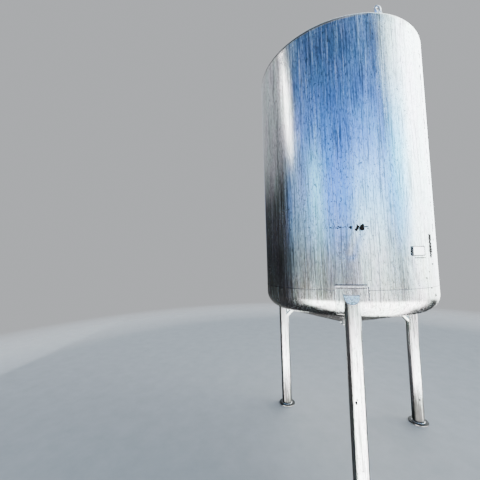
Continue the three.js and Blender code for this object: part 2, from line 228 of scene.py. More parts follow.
def softened(points, radius, closed=True):
    """The same outline with its corners rounded"""
    count = len(points)
    result = []
    for i, point in enumerate(points):
        corner = Vector(point)
        if not closed and i in (0, count - 1):
            result.append(point)
            continue
        back = Vector(points[i - 1]) - corner
        ahead = Vector(points[(i + 1) % count]) - corner
        cut = min(radius, 0.45 * back.length, 0.45 * ahead.length)
        start = corner + back.normalized() * cut
        end = corner + ahead.normalized() * cut
        for t in (0, 0.3, 0.7, 1):
            result.append(tuple(start * (1 - t) ** 2 + corner * (2 * t * (1 - t)) + end * t * t))
    return result


def shade(piece, sharp):
    """Shades the piece smooth up to an angle"""
    piece.data.shade_smooth()
    piece.data.set_sharp_from_angle(angle=math.radians(sharp))


def settle(piece, sharp=35):
    """Merges doubled points, turns the faces outwards and shades the piece"""
    work = bmesh.new()
    work.from_mesh(piece.data)
    bmesh.ops.remove_doubles(work, verts=work.verts, dist=2e-6)
    bmesh.ops.dissolve_degenerate(work, dist=1e-7, edges=work.edges)
    bmesh.ops.recalc_face_normals(work, faces=work.faces)
    work.to_mesh(piece.data)
    work.free()
    shade(piece, sharp)


def linked(name, mesh):
    piece = bpy.data.objects.new(name, mesh)
    bpy.context.scene.collection.objects.link(piece)
    return piece


def make_object(name, verts, faces, sharp=35):
    mesh = bpy.data.meshes.new(name)
    mesh.from_pydata([tuple(v) for v in verts], [], faces)
    piece = linked(name, mesh)
    settle(piece, sharp)
    return piece


def grid_faces(rows, count, whole=True, closed=True):
    """Faces between rows of count points: a whole grid goes all the way round, any other has filled ends"""
    faces = []
    for i in range(rows if whole else rows - 1):
        near = i * count
        far = (i + 1) % rows * count
        for j in range(count if closed else count - 1):
            k = (j + 1) % count
            faces.append((near + j, far + j, far + k, near + k))
    if not whole:
        faces.append(tuple(range(count)))
        faces.append(tuple((rows - 1) * count + j for j in reversed(range(count))))
    return faces


def turned(name, section, steps, closed=True, centre=(0.0, 0.0), sharp=35, place=Matrix.Identity(4)):
    """A section of (radius, z) points turned all the way round an upright axis"""
    verts = []
    for azimuth in all_round(steps):
        for radius, z in section:
            verts.append(place @ (outward(azimuth) * radius + Vector((*centre, z))))
    return make_object(name, verts, grid_faces(steps, len(section), closed=closed), sharp)


def body_turned(name, azimuths, section, whole):
    """A closed section carried round the tank's axis and moved in by the shell's waves"""
    verts = []
    for azimuth in azimuths:
        for radius, z in section:
            verts.append(outward(azimuth) * (radius - inward(azimuth, z)) + Vector((0, AXIS_Y, z)))
    return make_object(name, verts, grid_faces(len(azimuths), len(section), whole))


def part_turned(name, azimuths, section):
    """A closed section carried part of the way round, with flat ends, in a fitting's own frame"""
    verts = [outward(azimuth) * radius + Vector((0, 0, z)) for azimuth in azimuths for radius, z in section]
    return make_object(name, verts, grid_faces(len(azimuths), len(section), False))


def block(name, size, place):
    half = size / 2
    corners = [place @ Vector((x, y, z)) for x in (-half, half) for y in (-half, half) for z in (-half, half)]
    faces = [(0, 1, 3, 2), (4, 6, 7, 5), (0, 4, 5, 1), (2, 3, 7, 6), (0, 2, 6, 4), (1, 5, 7, 3)]
    return make_object(name, corners, faces)


def bake(piece):
    """Works the piece's modifiers into its mesh"""
    bpy.context.view_layer.update()
    seen = piece.evaluated_get(bpy.context.evaluated_depsgraph_get())
    mesh = bpy.data.meshes.new_from_object(seen)
    piece.modifiers.clear()
    piece.data = mesh


def combine(piece, tool, operation="DIFFERENCE"):
    """Cuts the piece with the tool, or keeps what they share"""
    change = piece.modifiers.new("change", "BOOLEAN")
    change.operation = operation
    change.solver = "MANIFOLD"
    change.object = tool
    bake(piece)


def drop(*tools):
    for tool in tools:
        bpy.data.objects.remove(tool)


def bead(path, half_width, height, closed=False, sides=8):
    """Points and faces of a weld bead along a path of (point, outward direction) pairs"""
    count = len(path)
    verts = []
    for i, (point, up) in enumerate(path):
        before = path[i - 1][0] if closed or i else path[0][0]
        after = path[(i + 1) % count][0] if closed or i < count - 1 else path[-1][0]
        side = (after - before).cross(up).normalized()
        swell = 1 + 0.12 * math.sin(2.4 * i)
        for j in range(sides):
            turn = 2 * math.pi * j / sides
            across = side * half_width * swell * math.cos(turn)
            verts.append(point + across + up * height * swell * math.sin(turn))
    return verts, grid_faces(count, sides, closed)


def gathered(name, parts, place=Matrix.Identity(4), sharp=60):
    """One object made of several (points, faces) pairs"""
    verts = []
    faces = []
    for part_verts, part_faces in parts:
        start = len(verts)
        verts += [place @ Vector(v) for v in part_verts]
        faces += [tuple(start + v for v in face) for face in part_faces]
    return make_object(name, verts, faces, sharp)


def fit_out(piece, material, slot, *nodes):
    """Gives a piece its material, hangs it on the root body and hides the CAD nodes it stands in for"""
    piece.data.materials.clear()
    piece.data.materials.append(material)
    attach(piece, "root")
    if nodes:
        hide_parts(*nodes)


class Graph:
    """A tree of shader nodes: most calls add one node and give its result"""

    def __init__(self, tree):
        self.nodes = tree.nodes
        self.links = tree.links

    def fed(self, node, inputs):
        """The node, with results linked to its inputs, or numbers, vectors and colours set on them"""
        for name, value in inputs.items():
            socket = node.inputs[name]
            if isinstance(value, bpy.types.NodeSocket):
                self.links.new(value, socket)
            elif socket.type == "RGBA":
                socket.default_value = (*value, 1)
            else:
                socket.default_value = value
        return node

    def new(self, kind, **inputs):
        """A new node, fed by inputs that have one word as a name"""
        return self.fed(self.nodes.new(f"ShaderNode{kind}"), inputs)

    def part(self, place, axis):
        return self.new("SeparateXYZ", Vector=place).outputs[axis]

    def calculated(self, operation, *values):
        node = self.new("Math")
        node.operation = operation
        return self.fed(node, dict(enumerate(values))).outputs["Value"]

    def plus(self, first, second):
        return self.calculated("ADD", first, second)

    def times(self, first, second):
        return self.calculated("MULTIPLY", first, second)

    def larger(self, first, second):
        return self.calculated("MAXIMUM", first, second)

    def mix(self, factor, first, second, blend="MIX"):
        node = self.new("Mix")
        node.data_type = "RGBA"
        node.blend_type = blend
        return self.fed(node, {"Factor": factor, "A": first, "B": second}).outputs["Result"]


class Finish(Graph):
    """A material being put together"""

    def __init__(self, name):
        self.material = bpy.data.materials.new(name)
        self.material.use_nodes = True
        super().__init__(self.material.node_tree)
        self.shader = self.nodes["Principled BSDF"]
        self.place = self.new("TexCoord").outputs["Object"]

    def coordinate(self, axis="Z"):
        return self.part(self.place, axis)

    def noise(self, scale, detail=4, roughness=0.55, distortion=0.0, offset=(0, 0, 0)):
        mapping = self.new("Mapping", Vector=self.place, Scale=scale, Location=offset)
        texture = self.new(
            "TexNoise", Vector=mapping.outputs["Vector"], Scale=1, Detail=detail, Roughness=roughness,
            Distortion=distortion)
        return texture.outputs["Fac"]

    def band(self, value, low, high, to_low=0.0, to_high=1.0):
        """A value taken linearly from one range to another and held at its ends"""
        ranges = {"Value": value, "From Min": low, "From Max": high, "To Min": to_low, "To Max": to_high}
        return self.fed(self.new("MapRange"), ranges).outputs["Result"]

    def bump(self, height, strength, distance):
        node = self.new("Bump", Height=height, Strength=strength, Distance=distance)
        self.fed(self.shader, {"Normal": node.outputs["Normal"]})

    def finished(self, colour, roughness, metallic, shine=0.5):
        """The material, with its shader's main inputs"""
        self.fed(self.shader, {
            "Base Color": colour, "Roughness": roughness, "Metallic": metallic, "Specular IOR Level": shine,
        })
        return self.material


def low_painted_reflection(finish, colour, foot_z):
    """Painted reflection of the ground: olive and bluish tints on the lowest part of the shell"""
    low = finish.band(finish.coordinate(), foot_z, foot_z + 0.75, 0.65, 0)
    tint = finish.noise((5, 5, 4), detail=5, roughness=0.6, offset=(1, 9, 4))
    tinted = finish.mix(finish.band(tint, 0.38, 0.62), (0.46, 0.44, 0.36), (0.52, 0.51, 0.58))
    return finish.mix(low, colour, tinted)


def painted_low_shade(finish, run, shade_height):
    """Share of painted shade up to a height over the ground, in runs, most of it on the back legs"""
    low = finish.band(finish.coordinate(), 0.0, shade_height, 1, 0)
    low = finish.times(low, finish.band(finish.coordinate("Y"), -0.6, 0.2, 0.3, 1))
    return finish.band(finish.times(low, finish.band(run, 0.35, 0.65, 0.4, 1.6)), 0.20, 0.80, 0, 0.95)


def painted_rim_reflection(finish):
    """Share of the painted dark reflection: a black line round the left half of the rim"""
    line = finish.times(
        finish.band(finish.coordinate(), RIM_Z - 0.034, RIM_Z - 0.026),
        finish.band(finish.coordinate(), RIM_Z + 0.001, RIM_Z + 0.010, 0.95, 0))
    return finish.times(line, finish.band(finish.coordinate("X"), -0.05, 0.25, 1, 0))


def streaked_steel(name, dark, pale, rough, grain=(420, 420, 9), foot_z=0.0, shade_height=0.0):
    """Weathered stainless: upright brushing, dark and chalky runs, cloudy patches, dark specks, painted shade
    low on the legs, a painted reflection of the ground low on the shell and a painted dark reflection round
    the rim
    """
    finish = Finish(name)
    cloud = finish.noise((3.1, 3.1, 1.7), detail=6, roughness=0.6, distortion=0.6)
    broad_run = finish.noise((11, 11, 0.35), detail=3, roughness=0.5, offset=(4, 4, 4))
    run = finish.noise((34, 34, 0.8), detail=5, roughness=0.65, distortion=0.15)
    dark_run = finish.noise((105, 105, 2.4), detail=4, roughness=0.65, offset=(3, 1, 2))
    pale_run = finish.noise((80, 80, 2.0), detail=4, roughness=0.65, offset=(8, 4, 6))
    dash = finish.noise((125, 125, 24), detail=3, roughness=0.7, offset=(5, 2, 8))
    brush = finish.noise(grain, detail=3, roughness=0.7)
    speck = finish.noise((85, 85, 60), detail=2, offset=(7, 3, 1))
    hue = finish.noise((7, 7, 2.5), detail=4, roughness=0.6, offset=(6, 2, 5))
    patch = finish.band(finish.times(finish.plus(cloud, broad_run), 0.5), 0.38, 0.62)
    colour = finish.mix(patch, dark, pale)
    # Painted reflection of the ground on the lowest part of the shell
    if foot_z:
        colour = low_painted_reflection(finish, colour, foot_z)
    white = finish.larger(finish.band(run, 0.50, 0.66, 0, 0.55), finish.band(pale_run, 0.52, 0.66, 0, 0.85))
    colour = finish.mix(white, colour, (0.93, 0.96, 1.0))
    colour = finish.mix(finish.band(dash, 0.54, 0.66, 0, 0.65), colour, (0.97, 0.97, 0.97))
    shadow = finish.larger(finish.band(dark_run, 0.36, 0.49, 0.95, 0), finish.band(dash, 0.36, 0.47, 0.8, 0))
    colour = finish.mix(shadow, colour, tuple(0.24 * c for c in dark))
    spots = finish.band(finish.plus(speck, finish.times(cloud, 0.3)), 0.80, 0.85, 0, 0.92)
    colour = finish.mix(spots, colour, (0.05, 0.045, 0.04))
    tinge = finish.mix(finish.band(hue, 0.40, 0.60), (0.88, 1.0, 0.97), (0.97, 0.95, 1.0))
    colour = finish.mix(1.0, colour, tinge, "MULTIPLY")
    worn = finish.plus(finish.times(white, 0.6), finish.times(patch, 0.4))
    roughness = finish.band(worn, 0, 1, *rough)
    # Painted shade: the legs darker and rougher towards the ground, most on the back legs
    if shade_height:
        low_shade = painted_low_shade(finish, run, shade_height)
        colour = finish.mix(low_shade, colour, (0.03, 0.028, 0.026))
        roughness = finish.plus(roughness, finish.times(low_shade, 0.25))
    # Painted dark reflection on the left half of the rim, which is also made less metallic
    rim = painted_rim_reflection(finish)
    colour = finish.mix(rim, colour, (0.02, 0.02, 0.02))
    chalk = finish.times(white, finish.band(cloud, 0.35, 0.6, 0.4, 1))
    dull = finish.larger(finish.times(chalk, 0.12), rim)
    finish.bump(finish.plus(brush, finish.times(dark_run, 0.8)), 0.16, 0.0006)
    return finish.finished(colour, roughness, finish.band(dull, 0, 1, 1, 0))


def satin_steel(name, dark, pale, rough, scale):
    """Satin stainless with faint wear and smears"""
    finish = Finish(name)
    cloud = finish.noise((9 * scale, 9 * scale, 5 * scale), detail=6, roughness=0.6)
    brush = finish.noise((300, 300, 40), detail=3, roughness=0.7)
    smear = finish.noise((45, 45, 6), detail=5, roughness=0.65, offset=(2, 5, 1))
    patch = finish.band(cloud, 0.35, 0.65)
    colour = finish.mix(patch, dark, pale)
    colour = finish.mix(finish.band(smear, 0.55, 0.75, 0, 0.5), colour, tuple(0.55 * c for c in dark))
    wear = finish.plus(finish.times(patch, 0.6), finish.times(smear, 0.6))
    finish.bump(brush, 0.15, 0.0005)
    return finish.finished(colour, finish.band(wear, 0.2, 1.0, *rough), 1)


def foot_steel(name):
    """Plate that is dirty on top and worn bright round its rim"""
    finish = Finish(name)
    mottle = finish.noise((38, 38, 38), detail=6, roughness=0.65)
    dirty = finish.mix(finish.band(mottle, 0.35, 0.65), (0.010, 0.010, 0.010), (0.035, 0.034, 0.032))
    worn = finish.mix(finish.band(mottle, 0.42, 0.62), (0.02, 0.02, 0.02), (0.16, 0.16, 0.16))
    top = finish.band(finish.coordinate(), FOOT_PLATE - 0.0016, FOOT_PLATE - 0.0002)
    colour = finish.mix(top, worn, dirty)
    finish.bump(mottle, 0.25, 0.001)
    return finish.finished(colour, finish.band(top, 0, 1, 0.28, 0.62), finish.band(top, 0, 1, 1, 0.1), 0.08)


def weld_steel(name):
    """Weld metal with its ripples, in lighter and darker greys"""
    finish = Finish(name)
    ripple = finish.noise((600, 600, 600), detail=2)
    tint = finish.noise((60, 60, 60), detail=3)
    colour = finish.mix(finish.band(tint, 0.35, 0.65), (0.52, 0.51, 0.49), (0.74, 0.74, 0.75))
    finish.bump(ripple, 0.5, 0.0008)
    return finish.finished(colour, finish.band(ripple, 0.3, 0.7, 0.3, 0.55), 1)


def plain_finish(name, dark, pale, roughness, scale, metallic=0.0, shine=0.5):
    """Dull material with a fine mottle, for rubber, stains, a painted shadow and the heat tint beside welds
    """
    finish = Finish(name)
    cloud = finish.noise((scale, scale, scale), detail=6, roughness=0.65)
    colour = finish.mix(finish.band(cloud, 0.3, 0.7), dark, pale)
    finish.bump(cloud, 0.2, 0.001)
    return finish.finished(colour, roughness, metallic, shine)


STEEL = {
    "sheet": streaked_steel("sheet_steel", (0.58, 0.59, 0.61), (0.76, 0.77, 0.79), (0.15, 0.32), foot_z=1.5),
    "head": streaked_steel(
        "head_steel", (0.56, 0.55, 0.53), (0.74, 0.73, 0.71), (0.17, 0.34), (320, 320, 60)),
    "tube": streaked_steel(
        # Tube steel with painted shade up to 0.55 m over the ground
        "tube_steel", (0.60, 0.60, 0.59), (0.78, 0.78, 0.77), (0.14, 0.30), (500, 500, 12), shade_height=0.55),
    "foot": foot_steel("foot_steel"),
    "pad": streaked_steel("pad_steel", (0.44, 0.44, 0.45), (0.58, 0.58, 0.58), (0.20, 0.36)),
    "fitting": satin_steel("fitting_steel", (0.55, 0.56, 0.57), (0.74, 0.75, 0.75), (0.18, 0.36), 2),
    "plate": satin_steel("plate_steel", (0.74, 0.74, 0.73), (0.86, 0.86, 0.85), (0.2, 0.38), 4),
    "weld": weld_steel("weld_steel"),
    "tint": plain_finish("weld_tint", (0.025, 0.026, 0.029), (0.10, 0.10, 0.11), 0.35, 160, metallic=1.0),
    "bracket": plain_finish("bracket_dull", (0.42, 0.42, 0.42), (0.60, 0.60, 0.59), 0.5, 60, metallic=0.2),
    # Stains, and the painted shadow under the name plate
    "stain_and_shadow": plain_finish("dark_stain_and_shadow", (0.008, 0.007, 0.006), (0.03, 0.026, 0.022), 0.8, 90, shine=0.1),
    "rubber": plain_finish("gasket_rubber", (0.02, 0.02, 0.021), (0.045, 0.045, 0.047), 0.6, 60),
}


def spread(low, high, step, edge):
    """Values from low to high, closer together by the edge distances near both ends"""
    near = [low + e for e in edge]
    far = [high - e for e in reversed(edge)]
    count = max(1, round((far[0] - near[-1]) / step))
    return near + spaced(near[-1], far[0], count)[1:-1] + far


def make_sheets():
    gap = math.degrees(FIT / 2 / SHELL_RADIUS)
    step = math.degrees(0.011 / SHELL_RADIUS)
    edge = (0, 0.002, 0.006, 0.012, 0.020)
    edge_turn = [math.degrees(e / SHELL_RADIUS) for e in edge]
    section = [(SHELL_RADIUS, z) for z in spread(LOWER_WELD_Z, UPPER_WELD_Z, 0.012, edge)]
    inner_heights = spread(LOWER_WELD_Z, UPPER_WELD_Z, 0.15, (0, 0.02))
    section += [(SHELL_RADIUS - PLATE, z) for z in reversed(inner_heights)]
    for i in range(SHEET_COUNT):
        start = FIRST_SEAM + i * SHEET_TURN
        azimuths = spread(start + gap, start + SHEET_TURN - gap, step, edge_turn)
        piece = body_turned(f"sheet_skin_{i + 1}", azimuths, section, False)
        fit_out(piece, STEEL["sheet"], "sheet", f"shell_sheet_{i + 1}")


def make_heads():
    top = LOWER_WELD_Z - FIT
    hole = OUTLET_RADIUS + FIT
    bottom = bottom_face(0, top, hole, 24) + bottom_face(-PLATE, top, hole, 8)[::-1]
    hole = MANWAY_RADIUS + FIT
    crown = top_face(0, hole, 10, 24) + top_face(-PLATE, hole, 4, 10)[::-1]
    for node, section in (("bottom_head", bottom), ("top_head", crown)):
        fit_out(body_turned(f"{node}_skin", all_round(288), section, True), STEEL["head"], "head", node)


def make_shell_welds():
    for name, z, half_width, height, steel in (
        ("upper_weld_bead", UPPER_WELD_Z, 0.0014, 0.00015, "pad"),
        ("lower_weld_bead", LOWER_WELD_Z, 0.0022, 0.0003, "tint"),
    ):
        path = [(shell_point(azimuth, z), outward(azimuth)) for azimuth in all_round(720)]
        fit_out(gathered(name, [bead(path, half_width, height, True, 6)]), STEEL[steel], "sheet")
    beads = []
    for i in range(SHEET_COUNT):
        azimuth = FIRST_SEAM + i * SHEET_TURN
        path = [(shell_point(azimuth, z), outward(azimuth)) for z in spaced(LOWER_WELD_Z, UPPER_WELD_Z, 300)]
        beads.append(bead(path, 0.0014, 0.0002, sides=6))
    fit_out(gathered("upright_weld_beads", beads), STEEL["sheet"], "sheet")


def leg_cylinder(name, radius, low, high):
    section = [(0, low), (radius, low), (radius, high), (0, high)]
    return turned(name, section, 96, closed=False, centre=(LEG_CIRCLE, 0))


def above_mitre(shift):
    """Everything above the leg's mitre, or above a plane that lies lower by shift"""
    size = 0.6
    place = Matrix.Translation((SHELL_RADIUS, 0, MITRE_TOP_Z)) @ Matrix.Rotation(MITRE_ANGLE, 4, "Y")
    return block("mitre_tool", size, place @ Matrix.Translation((0, 0, size / 2 - shift)))


def padded_tool():
    """The bottom head with its pads, as a solid to cut the legs back by"""
    top = LEG_PAD_TOP_Z + 0.1
    inner = 0.2
    reach = 14
    section = bottom_face(PLATE + 2 * FIT, top, inner, 30) + [(inner, top)]
    return part_turned("padded_tool", spaced(-reach, reach, 80), section)


def cut(piece, *tools):
    """The piece cut with each tool and settled; the tools are dropped"""
    for tool in tools:
        combine(piece, tool)
    drop(*tools)
    settle(piece)
    return piece


def make_leg_tube():
    tube = leg_cylinder("leg_tube_tool", TUBE_RADIUS, FOOT_PLATE + FIT, MITRE_TOP_Z + 0.1)
    bore = leg_cylinder("bore_tool", TUBE_RADIUS - WALL, FOOT_PLATE - 0.01, MITRE_TOP_Z + 0.2)
    return cut(tube, bore, above_mitre(PLATE + FIT), padded_tool())


def make_leg_cap():
    cap = leg_cylinder("leg_cap_tool", TUBE_RADIUS, MITRE_TOP_Z - 0.2, MITRE_TOP_Z + 0.1)
    above = above_mitre(0)
    slab = above_mitre(PLATE)
    combine(cap, above)
    combine(cap, slab, "INTERSECT")
    drop(above, slab)
    return cut(cap, padded_tool())


def brace_frame():
    """Start, direction and two side directions of the knee brace in its leg's frame"""
    start = Vector((LEG_CIRCLE - TUBE_RADIUS, 0, BRACE_LEG_Z))
    along = Vector((-math.cos(BRACE_ANGLE), 0, math.sin(BRACE_ANGLE)))
    return start, along, Vector((0, 1, 0)), Vector((math.sin(BRACE_ANGLE), 0, math.cos(BRACE_ANGLE)))


def make_leg_brace():
    start, along, _, _ = brace_frame()
    place = Matrix.Translation(start) @ along.to_track_quat("Z", "Y").to_matrix().to_4x4()
    rods = []
    for name, radius, low, high in (
        ("brace_tool", BRACE_RADIUS, -0.03, 0.4), ("hollow_tool", BRACE_RADIUS - WALL, -0.1, 0.6),
    ):
        section = [(0, low), (radius, low), (radius, high), (0, high)]
        rods.append(turned(name, section, 64, closed=False, place=place))
    return cut(*rods, leg_cylinder("leg_tool", TUBE_RADIUS + FIT, 0.5, 1.6), padded_tool())


def over_pad(point):
    return point.z - cone_z(math.hypot(point.x, point.y), PLATE + FIT)


def off_leg(point):
    return math.hypot(point.x - LEG_CIRCLE, point.y) - TUBE_RADIUS


def brace_ring(clearance, low, high):
    """Where the brace's face meets its pad or its leg, found by halving between low and high along it"""
    start, along, side, up = brace_frame()
    path = []
    for azimuth in all_round(64):
        way = outward(azimuth)
        away = side * way.x + up * way.y
        line = start + away * BRACE_RADIUS
        near = low
        far = high
        for _ in range(40):
            middle = (near + far) / 2
            if clearance(line + along * middle) < 0:
                near = middle
            else:
                far = middle
        path.append((line + along * near, away))
    return path


def ring_path(radius, z, steps, centre):
    """A level circle, as (point, outward direction) pairs"""
    middle = Vector((*centre, z))
    return [(middle + outward(azimuth) * radius, outward(azimuth)) for azimuth in all_round(steps)]


def edge_point(azimuth, radius, z):
    """A place on a pad, in its leg's frame, and its outward direction"""
    away = outward(azimuth)
    return away * radius + Vector((0, 0, z)), away


def tube_ring():
    """Where the tube meets its pad: up the pad's face from under the knuckle"""
    offset = PLATE + FIT
    face = SHELL_RADIUS + offset
    reach = BOTTOM_KNUCKLE + offset
    turn_at_face = math.acos((face - LEG_CIRCLE) / TUBE_RADIUS)
    path = []
    for turn in spaced(turn_at_face, 2 * math.pi - turn_at_face, 72):
        away = Vector((math.cos(turn), math.sin(turn), 0))
        x = min(face, LEG_CIRCLE + TUBE_RADIUS * away.x)
        depth = reach ** 2 - (x - SHELL_RADIUS + BOTTOM_KNUCKLE) ** 2
        z = BOTTOM_TANGENT_Z - math.sqrt(max(0.0, depth))
        path.append((Vector((x, TUBE_RADIUS * away.y, z)), away))
    heights = [MITRE_TOP_Z - 0.006 - 0.04 * j / 8 for j in range(8)]
    half = TUBE_RADIUS * math.sin(turn_at_face)
    upper = [(Vector((face, half, z)), Vector((0.7, 0.7, 0))) for z in heights]
    lower = [(Vector((face, -half, z)), Vector((0.7, -0.7, 0))) for z in reversed(heights)]
    return upper + path + lower


def cap_ring():
    """The mitred cap's edge: across the pad and down round the tube"""
    face = SHELL_RADIUS + PLATE + FIT
    turn_at_face = math.acos((face - LEG_CIRCLE) / TUBE_RADIUS)
    slope = math.tan(MITRE_ANGLE)
    path = []
    for turn in spaced(turn_at_face, -turn_at_face, 48):
        away = Vector((math.cos(turn), math.sin(turn), 0))
        x = LEG_CIRCLE + TUBE_RADIUS * away.x
        z = MITRE_TOP_Z - (x - SHELL_RADIUS) * slope - PLATE / 2
        path.append((Vector((x, TUBE_RADIUS * away.y, z)), away))
    half = TUBE_RADIUS * math.sin(turn_at_face)
    top_z = MITRE_TOP_Z - (face - SHELL_RADIUS) * slope
    across = Vector((0.7, 0, 0.7))
    return path + [(Vector((face + 0.001, y, top_z)), across) for y in spaced(-half, half, 12)[1:-1]]


def pad_top(offset, rise):
    """Across the leg's pad, the given rise above its top edge"""
    azimuths = spaced(-LEG_PAD_REACH, LEG_PAD_REACH, 16)
    return [edge_point(azimuth, SHELL_RADIUS + offset, LEG_PAD_TOP_Z + rise) for azimuth in azimuths]


def pad_side(side):
    """Up one side of the leg's pad, from just above its knuckle"""
    heights = spaced(BOTTOM_TANGENT_Z, LEG_PAD_TOP_Z, 12)
    return [edge_point(side * LEG_PAD_REACH, SHELL_RADIUS, z) for z in heights]


def pad_edge():
    """Down one side of the leg's pad, across its lower end, up the other side and back across its top"""
    down = knuckle_and_flange(PLATE / 2, LEG_PAD_TOP_Z, LEG_PAD_TURN, 16)
    reach = LEG_PAD_REACH
    path = [edge_point(-reach, *point) for point in down]
    path += [edge_point(azimuth, *down[-1]) for azimuth in spaced(-reach, reach, 12)[1:-1]]
    path += [edge_point(reach, *point) for point in reversed(down)]
    return path + [edge_point(azimuth, *down[0]) for azimuth in spaced(reach, -reach, 16)[1:-1]]


def brace_pad_edge():
    inner, outer = BRACE_PAD_RADII
    path = []
    corners = [(inner, -1), (outer, -1), (outer, 1), (inner, 1)]
    for (r0, s0), (r1, s1) in zip(corners, corners[1:] + corners[:1]):
        for radius, side in zip(spaced(r0, r1, 10)[:-1], spaced(s0, s1, 10)[:-1]):
            point, _ = edge_point(side * BRACE_PAD_REACH, radius, cone_z(radius, FIT + PLATE / 2))
            path.append((point, Vector((0.27, 0, -0.96))))
    return path


def make_leg_pad():
    section = knuckle_and_flange(PLATE + FIT, LEG_PAD_TOP_Z, LEG_PAD_TURN, 24)
    section += knuckle_and_flange(FIT, LEG_PAD_TOP_Z, LEG_PAD_TURN, 24)[::-1]
    return part_turned("pad_tool", spaced(-LEG_PAD_REACH, LEG_PAD_REACH, 24), section)


def make_brace_pad():
    radii = spaced(*BRACE_PAD_RADII, 6)
    section = [(r, cone_z(r, PLATE + FIT)) for r in radii] + [(r, cone_z(r, FIT)) for r in reversed(radii)]
    return part_turned("brace_pad_tool", spaced(-BRACE_PAD_REACH, BRACE_PAD_REACH, 20), section)


def make_foot_plate():
    section = softened([(0, 0), (FOOT_RADIUS, 0), (FOOT_RADIUS, FOOT_PLATE), (0, FOOT_PLATE)], 0.0016, False)
    return turned("foot_tool", section, 128, closed=False, centre=(LEG_CIRCLE, 0), sharp=50)


def leg_beads():
    """Weld beads of one leg: path, half width, height and whether the path closes"""
    paths = (
        (cap_ring(), 0.0024, 0.0020, True),
        (tube_ring(), 0.0034, 0.0030, False),
        (pad_edge(), 0.0036, 0.0026, True),
        (brace_pad_edge(), 0.0024, 0.0018, True),
        (brace_ring(over_pad, 0.02, 0.5), 0.0030, 0.0028, True),
        (brace_ring(off_leg, -0.04, 0.1), 0.0030, 0.0028, True),
        (ring_path(TUBE_RADIUS, FOOT_PLATE, 64, (LEG_CIRCLE, 0)), 0.0030, 0.0034, True),
    )
    return [bead(*path) for path in paths]


def leg_tints():
    """Dark heat tint beside one leg's welds, in the same form"""
    paths = (
        (cap_ring(), 0.0060, 0.0007, True),
        (pad_top(0.0, 0.0125), 0.0058, 0.0007),
        (pad_top(PLATE + FIT, -0.0105), 0.0055, 0.0006),
        (pad_side(-1), 0.0078, 0.0006),
        (pad_side(1), 0.0145, 0.0006),
        (brace_pad_edge(), 0.0070, 0.0006, True),
    )
    return [bead(*path) for path in paths]


def make_legs():
    parts = (
        (make_leg_tube(), "leg_tube", "tube"), (make_leg_cap(), "leg_cap", "tube"),
        (make_leg_brace(), "leg_brace", "tube"), (make_leg_pad(), "leg_pad", "pad"),
        (make_brace_pad(), "brace_pad", "pad"), (make_foot_plate(), "foot_plate", "foot"),
    )
    beads = leg_beads()
    tints = leg_tints()
    for side, azimuth in LEG_AZIMUTHS.items():
        place = around(azimuth)
        for source, name, slot in parts:
            piece = linked(f"{name}_skin_{side}", source.data.copy())
            piece.data.transform(place)
            fit_out(piece, STEEL[slot], slot, f"{name}_{side}")
        fit_out(gathered(f"leg_weld_beads_{side}", beads, place), STEEL["weld"], "tube")
        fit_out(gathered(f"leg_weld_tint_{side}", tints, place), STEEL["tint"], "pad")
    drop(*(part[0] for part in parts))


def dressed(node, bevel, steel="fitting"):
    """A CAD fitting's own shape with its edges eased, in place of the node"""
    piece = linked(f"{node}_eased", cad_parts[node].data.copy())
    work = bmesh.new()
    work.from_mesh(piece.data)
    bmesh.ops.remove_doubles(work, verts=work.verts, dist=1e-5)
    bmesh.ops.dissolve_limit(work, angle_limit=math.radians(1), verts=work.verts, edges=work.edges)
    work.to_mesh(piece.data)
    work.free()
    ease = piece.modifiers.new("ease", "BEVEL")
    ease.width = bevel
    ease.segments = 2
    ease.limit_method = "ANGLE"
    ease.angle_limit = math.radians(40)
    bake(piece)
    shade(piece, 35)
    fit_out(piece, STEEL[steel], "fitting", node)


def ring_section(inner, outer, low, high):
    return [(inner, low), (outer, low), (outer, high), (inner, high)]


def fitting(node, section, steps, centre, sharp=35, closed=True):
    """A turned fitting in place of its CAD node"""
    piece = turned(f"{node}_skin", section, steps, closed, centre, sharp)
    fit_out(piece, STEEL["fitting"], "fitting", node)


def neck(node, radius, steps, centre):
    """An open upright tube between its CAD node's heights"""
    low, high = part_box(node)
    fitting(node, ring_section(radius - WALL, radius, low.z, high.z), steps, centre)


def weld_round(name, half_width, height, *paths):
    beads = [bead(path, half_width, height, closed=True) for path in paths]
    fit_out(gathered(name, beads), STEEL["weld"], "fitting")


def make_outlet():
    centre = (0, AXIS_Y)
    neck("outlet_neck", OUTLET_RADIUS, 96, centre)
    low = ferrule_low.z
    high = ferrule_high.z
    bore = OUTLET_RADIUS - WALL
    ferrule = [
        (bore, low), (bore + 0.006, low), (bore + 0.008, low + 0.0022), (bore + 0.0105, low + 0.0022),
        (bore + 0.0125, low), (FERRULE_RADIUS, low), (FERRULE_RADIUS, low + 0.006),
        (FERRULE_RADIUS - 0.012, high), (bore, high),
    ]
    fitting("outlet_ferrule", softened(ferrule, 0.0012), 128, centre, sharp=50)
    lower = ring_path(OUTLET_RADIUS, high + 0.001, 72, centre)
    upper = ring_path(OUTLET_RADIUS + 0.0005, cone_z(OUTLET_RADIUS, 0), 72, centre)
    weld_round("outlet_weld_beads", 0.0022, 0.0020, lower, upper)


def lid_section(seat):
    """Half the lid's section from its middle out, over its folded edge and back over its dome"""
    radius = MANWAY_RADIUS + RIM_RING_WIDTH + LID_OVERHANG
    top = seat + RIM_RING_PLATE
    dome_radius = MANWAY_RADIUS + 0.004
    section = [
        (0, seat), (radius - 0.004, seat), (radius, seat + 0.002), (radius, top - 0.002),
        (radius - 0.003, top), (dome_radius, top),
    ]
    for share in spaced(0, 1, 24)[1:]:
        rise = (LID_DOME - RIM_RING_PLATE) * math.sin(share * math.pi / 2) ** 0.85
        section.append((dome_radius * (1 - share), top + rise))
    return section


